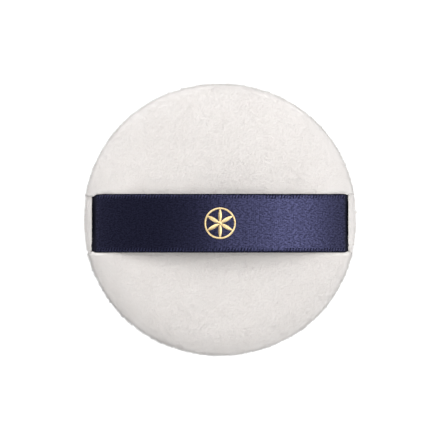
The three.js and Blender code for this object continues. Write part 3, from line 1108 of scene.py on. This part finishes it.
class PUFF_OT_ribbon(bpy.types.Operator):
    """Models the satin ribbon from tail to tail"""

    bl_idname = "puff.ribbon"
    bl_label = "Ribbon"

    def execute(self, context):
        s = sizes()
        line = RibbonLine()
        clear_selection()
        bpy.ops.mesh.primitive_grid_add(
            x_subdivisions=RIBBON_ALONG, y_subdivisions=RIBBON_ACROSS, size=1, calc_uvs=True
        )
        ribbon = context.object
        ribbon.name = "navy_satin_ribbon"
        flat = points_of(ribbon.data)
        x, z = line.at(flat[:, 0] + 0.5)
        drawn, curl = end_shape(x)
        y = flat[:, 1] * s.ribbon_width * (1 - drawn)
        y -= curl * smooth(*CURL_SIDE, y)
        set_points(ribbon.data, np.stack([x, y - s.ribbon_forward, z], 1))
        modify(ribbon, "SOLIDIFY", thickness=s.ribbon_thickness, offset=0, use_even_offset=True)
        modify(ribbon, "BEVEL", width=0.12 * MM, segments=2, limit_method="ANGLE", angle_limit=1.0)
        only(ribbon)
        edit_all()
        close_outwards()
        bpy.ops.object.shade_smooth_by_angle(angle=SHARP_ANGLE)
        dress(ribbon, ribbon_look(line))
        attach(ribbon, BODY)
        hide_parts("ribbon_strap")
        flat = (s.ribbon_width, line.length)
        return {"FINISHED"}


class PUFF_OT_rosette(bpy.types.Operator):
    """Models the stamped foil rosette on top of the ribbon's bow"""

    bl_idname = "puff.rosette"
    bl_label = "Rosette"

    def execute(self, context):
        s = sizes()
        ring = self.ring()
        petals = [self.petal(2 * math.pi / PETALS * (i + 0.5)) for i in range(PETALS)]
        hub = self.hub()
        clear_selection()
        for piece in [*petals, hub, ring]:
            piece.select_set(True)
        context.view_layer.objects.active = ring
        bpy.ops.object.join()
        ring.name = "gold_foil_rosette"
        line = RibbonLine()
        points = points_of(ring.data)
        bow = line.radius + s.ribbon_thickness / 2
        turn = points[:, 0] / bow
        far = bow + s.foil_lift + points[:, 2]
        points[:, 0] = far * np.sin(turn)
        points[:, 1] -= s.ribbon_forward
        points[:, 2] = line.centre + far * np.cos(turn)
        set_points(ring.data, points)
        only(ring)
        bpy.ops.object.shade_smooth_by_angle(angle=SHARP_ANGLE)
        dress(ring, foil_look())
        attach(ring, BODY)
        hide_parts("foil_rosette")
        return {"FINISHED"}

    def ring(self):
        """The ring, a flat loop whose top is rounded."""
        s = sizes()
        clear_selection()
        bpy.ops.mesh.primitive_torus_add(
            major_radius=(s.rosette_diameter - s.rosette_line) / 2,
            minor_radius=s.rosette_line / 2,
            major_segments=72,
            minor_segments=10,
        )
        return self.flattened(bpy.context.object, 0.7)

    def petal(self, turn):
        """A lens between two arcs, raised along its middle, whose tip points this way."""
        s = sizes()
        length = s.rosette_diameter / 2 - s.rosette_line / 2
        clear_selection()
        bpy.ops.mesh.primitive_grid_add(x_subdivisions=14, y_subdivisions=6, size=1)
        petal = bpy.context.object
        flat = points_of(petal.data)
        angle = math.pi / 2 + flat[:, 0] * math.pi / 3
        along = length / 2 - length * np.cos(angle)
        half = length * (np.sin(angle) - math.sin(math.pi / 3))
        across = flat[:, 1] * 2
        rise = PETAL_RISE * np.sqrt(np.clip(1 - across**2, 0, 1)) * half / half.max()
        set_points(petal.data, np.stack([along, across * half * 0.9, rise + 0.01 * MM], 1))
        only(petal)
        edit_all()
        bpy.ops.mesh.remove_doubles(threshold=MERGE_DISTANCE)
        bpy.ops.mesh.select_all(action="SELECT")
        bpy.ops.mesh.extrude_region_move(TRANSFORM_OT_translate={"value": (0, 0, 0)})
        bpy.ops.transform.resize(value=(1, 1, 0), center_override=(0, 0, 0))
        close_outwards()
        points = points_of(petal.data)
        x = points[:, 0] * math.cos(turn) - points[:, 1] * math.sin(turn)
        y = points[:, 0] * math.sin(turn) + points[:, 1] * math.cos(turn)
        set_points(petal.data, np.stack([x, y, points[:, 2]], 1))
        return petal

    def hub(self):
        """The low dome in the middle."""
        clear_selection()
        bpy.ops.mesh.primitive_uv_sphere_add(segments=20, ring_count=10, radius=HUB_RADIUS)
        return self.flattened(bpy.context.object, 0.5)

    def flattened(self, piece, share):
        """Cuts a piece's lower half flat, and lowers its upper one to this share."""
        points = points_of(piece.data)
        points[:, 2] = np.maximum(points[:, 2], 0) * share
        set_points(piece.data, points)
        return piece


class PUFF_OT_sewing(bpy.types.Operator):
    """Gives the threads and the foam their finishes"""

    bl_idname = "puff.sewing"
    bl_label = "Foam and thread"

    def execute(self, context):
        c = colours()
        white = thread_look("white sewing thread", tuple(c.white_thread))
        navy = thread_look("navy sewing thread", tuple(c.navy_thread))
        finishes = {
            "foam_core": foam_look(),
            "seam_needle_thread": white,
            "seam_bobbin_thread": white,
            "closing_thread": white,
            "right_ribbon_tack": navy,
            "left_ribbon_tack": navy,
        }
        for name, material in finishes.items():
            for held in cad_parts[name].material_slots:
                held.material = material
        return {"FINISHED"}


class PUFF_PT_panel(bpy.types.Panel):
    """Lists the puff's sizes, colours and steps"""

    bl_idname = "PUFF_PT_panel"
    bl_label = "Powder puff"
    bl_space_type = "VIEW_3D"
    bl_region_type = "UI"
    bl_category = "Puff"

    def draw(self, context):
        for group in (context.scene.puff_sizes, context.scene.puff_colours):
            column = self.layout.column()
            for key in group.bl_rna.properties.keys():
                if key not in ("name", "rna_type"):
                    column.prop(group, key)
        for step in STEPS:
            self.layout.operator(step.bl_idname)


STEPS = (
    PUFF_OT_stage,
    PUFF_OT_covers,
    PUFF_OT_pile,
    PUFF_OT_ribbon,
    PUFF_OT_rosette,
    PUFF_OT_sewing,
)
CLASSES = (PuffSizes, PuffColours, *STEPS, PUFF_PT_panel)


def register():
    for item in CLASSES:
        bpy.utils.register_class(item)
    bpy.types.Scene.puff_sizes = bpy.props.PointerProperty(type=PuffSizes)
    bpy.types.Scene.puff_colours = bpy.props.PointerProperty(type=PuffColours)


def unregister():
    del bpy.types.Scene.puff_colours
    del bpy.types.Scene.puff_sizes
    for item in reversed(CLASSES):
        bpy.utils.unregister_class(item)


def main():
    register()
    bpy.ops.puff.stage()
    bpy.ops.puff.covers()
    bpy.ops.puff.pile()
    bpy.ops.puff.ribbon()
    bpy.ops.puff.rosette()
    bpy.ops.puff.sewing()


if __name__ == "__main__":
    main()
